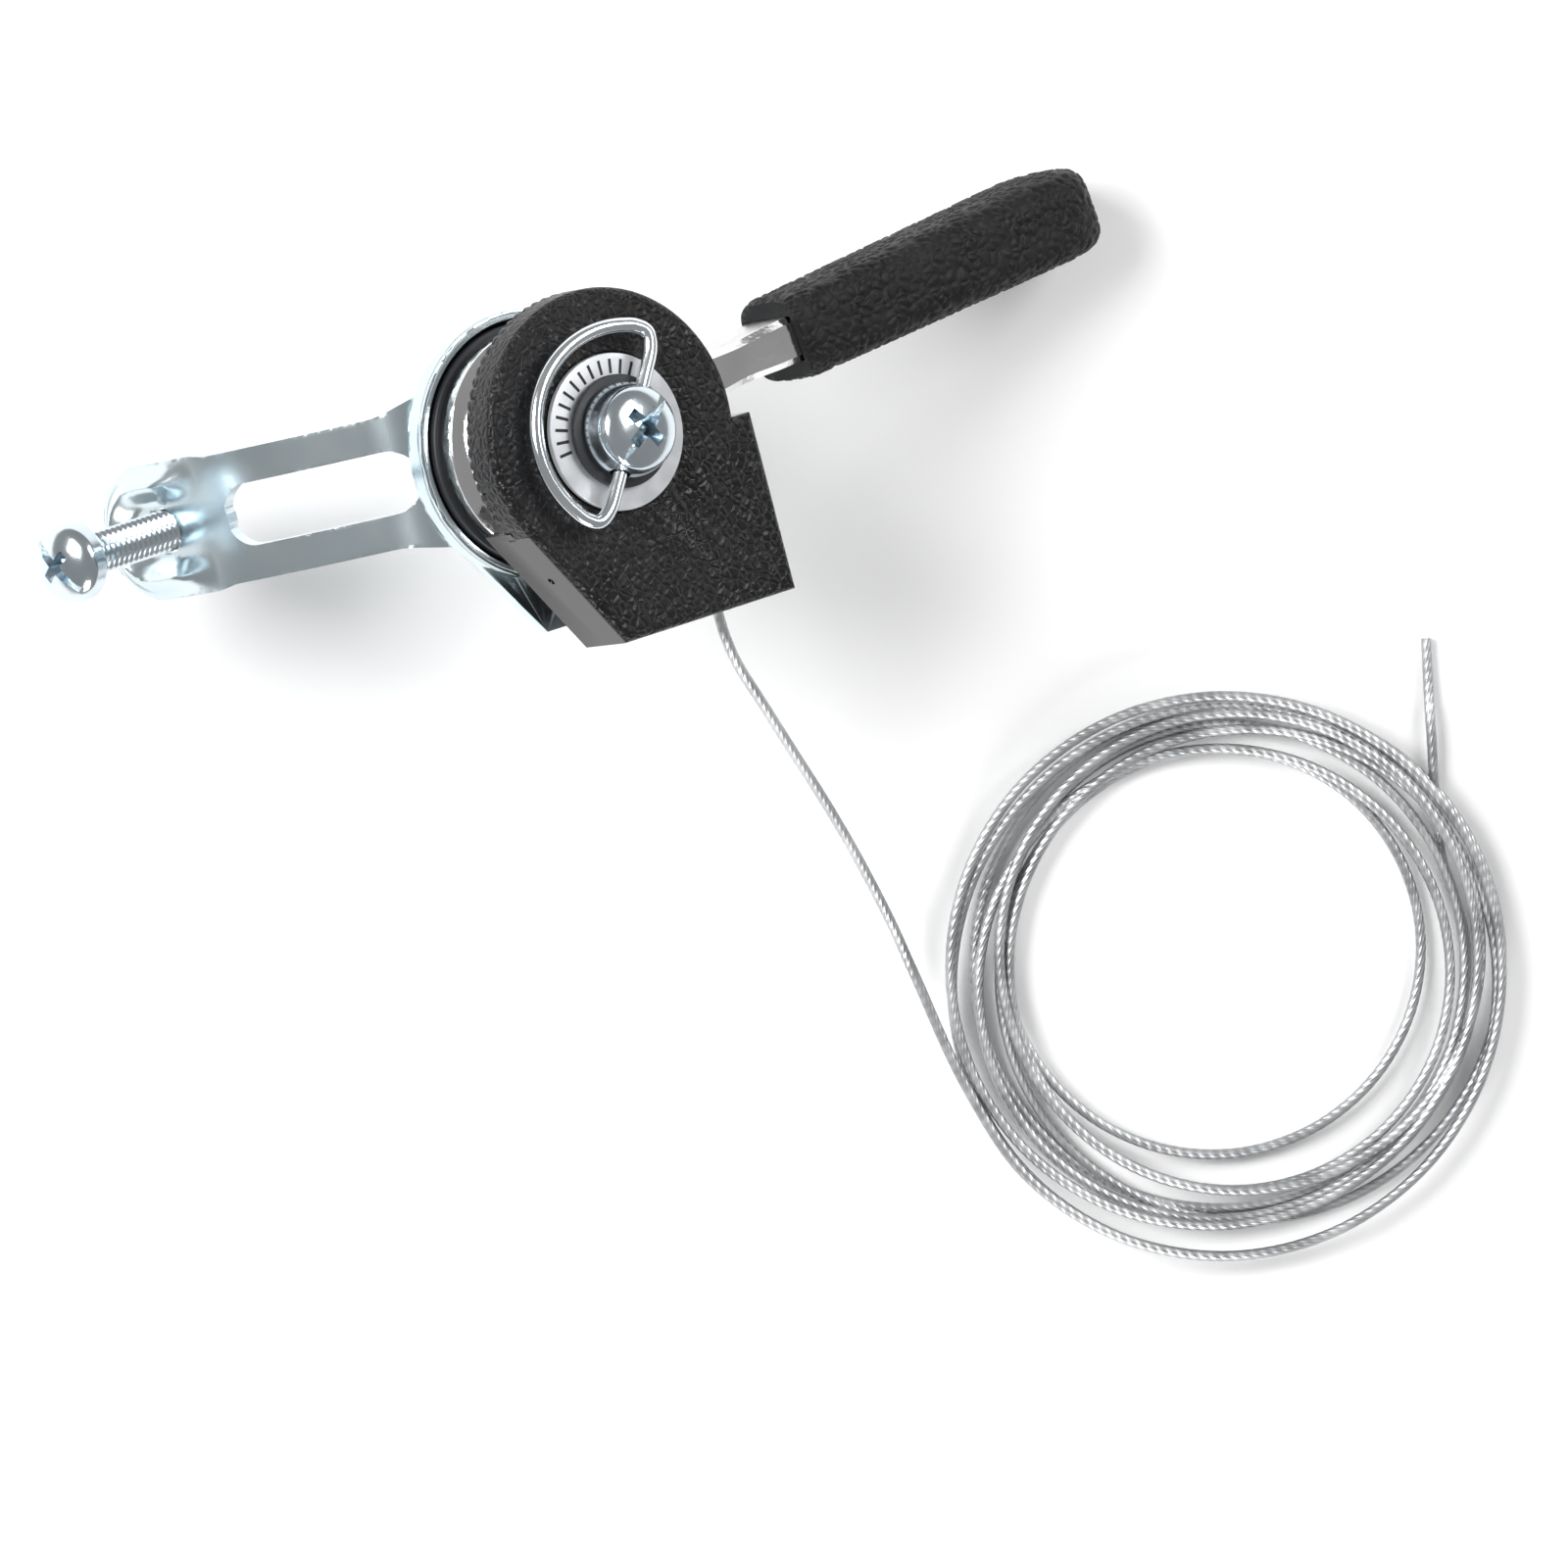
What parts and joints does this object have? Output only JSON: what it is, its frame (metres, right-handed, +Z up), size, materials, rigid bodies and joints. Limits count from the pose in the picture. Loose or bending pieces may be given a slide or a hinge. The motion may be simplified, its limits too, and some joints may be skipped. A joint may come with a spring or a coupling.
{
  "type": "thumb shifter",
  "caption": "Handlebar friction thumb shifter: slotted band clamp, chrome drum lever with rubber grip, domed cover with dial, tension screw with wire bail, and a coiled inner cable.",
  "frame": {"origin": "middle of the bottom of the shifter's own bounding box, on the table that it lies on, measured without the free cable", "axes": "+Z up from the table; +Y along the handlebar that the clamp takes, with the cable block on the -Y side; +X from the clamp screw towards the lever's grip. The pivot axis leans 31.3 degrees from +Z towards +X."},
  "size_m": [0.1541, 0.132, 0.0606],
  "materials": {
    "zinc_plate": "bright blue-tinted zinc plating over pressed steel, satin",
    "chrome_casting": "chrome plating over a zinc die casting, slightly uneven",
    "bail_wire": "bright nickel-plated round wire",
    "screw_zinc": "bright blue zinc-plated screw steel",
    "inner_steel": "plain ground steel, lightly oiled",
    "grip_rubber": "matt black rubber moulded with a leather grain",
    "cover_plastic": "black moulded plastic with a pebbled face and smooth glossy side walls",
    "black_nylon": "dull black nylon",
    "dial_aluminium": "satin aluminium with printed black tick marks",
    "fibre": "brown friction fibre",
    "cable_wire": "galvanised stranded steel wire"
  },
  "bodies": {
    "frame": {"clamp_band": "zinc_plate", "base_plate": "zinc_plate", "pivot_stud": "inner_steel", "base_ring": "black_nylon", "keyed_washer_lower": "inner_steel", "keyed_washer_upper": "inner_steel", "spring_washer": "inner_steel", "cover": "cover_plastic", "dial_plate": "dial_aluminium", "seal_ring": "black_nylon", "cable_run": "cable_wire", "cable_lead": "cable_wire", "cable_coil": "cable_wire", "cable_tail": "cable_wire"},
    "lever": {"lever_drum": "chrome_casting", "lever_grip": "grip_rubber", "cable_nipple": "inner_steel", "friction_disc_lower": "fibre", "friction_disc_upper": "fibre"},
    "tension_screw": {"tension_screw": "screw_zinc"},
    "bail": {"bail_ring": "bail_wire"},
    "clamp_screw": {"clamp_screw": "screw_zinc"}
  },
  "joints": [
    {"name": "lever_swing", "type": "hinge", "parent": "frame", "child": "lever", "pos_m": [-0.00297, 0.00348, 0.0429], "axis": [0.5195, 0, 0.8545], "range_deg": [-4, 145]},
    {"name": "tension_screw_turn", "type": "hinge", "parent": "frame", "child": "tension_screw", "pos_m": [0.00378, 0.00348, 0.05401], "axis": [0.5195, 0, 0.8545], "continuous": true},
    {"name": "bail_fold", "type": "hinge", "parent": "tension_screw", "child": "bail", "pos_m": [0.0043, 0.00348, 0.05486], "axis": [0.4741, 0.832, -0.2883], "range_deg": [0, 186]},
    {"name": "clamp_screw_travel", "type": "slide", "parent": "frame", "child": "clamp_screw", "axis": [0.7223, 0, -0.6916], "range_m": [-0.004, 0.012]}
  ]
}
